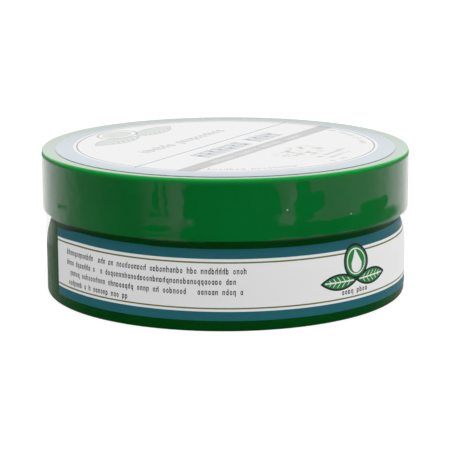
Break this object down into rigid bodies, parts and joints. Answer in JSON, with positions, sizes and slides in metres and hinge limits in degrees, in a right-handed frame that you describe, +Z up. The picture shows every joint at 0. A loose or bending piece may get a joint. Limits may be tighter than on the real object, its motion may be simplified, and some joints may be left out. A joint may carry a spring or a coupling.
{
  "type": "shaving soap tub",
  "caption": "Low round screw-top tub holding a poured puck of shaving soap, with a wrap label, a lid label and a clear shrunk film.",
  "frame": {"origin": "centre of the flat ring the tub stands on, on the tub's axis", "axes": "+Z up along the tub's axis, -Y towards the front of the wrap label"},
  "size_m": [0.0924, 0.0924, 0.0364],
  "materials": {
    "green_plastic": "moulded, glossy",
    "soap": "poured, satin",
    "label_paper": "coated paper, printed",
    "liner_foam": "smooth foam",
    "clear_film": "clear, shrunk"
  },
  "bodies": {
    "jar": {"jar_body": "green_plastic", "soap_puck": "soap", "wrap_label": "label_paper"},
    "liner": {"lid_liner": "liner_foam"},
    "lid": {"screw_lid": "green_plastic", "lid_label": "label_paper"},
    "band": {"shrink_band": "clear_film"}
  },
  "joints": [
    {"name": "lid_lift", "type": "slide", "parent": "jar", "child": "liner", "axis": [0, 0, 1], "range_m": [0, 0.01525]},
    {"name": "lid_turn", "type": "hinge", "parent": "liner", "child": "lid", "pos_m": [0, 0, 0.0348], "axis": [0, 0, 1], "range_deg": [0, 1080]},
    {"name": "film_off", "type": "slide", "parent": "jar", "child": "band", "axis": [0, 0, 1], "range_m": [0, 0.055]}
  ],
  "couplings": [
    {"joint": "lid_lift", "follows": "lid_turn", "m_per_rad": 0.00080851}
  ]
}
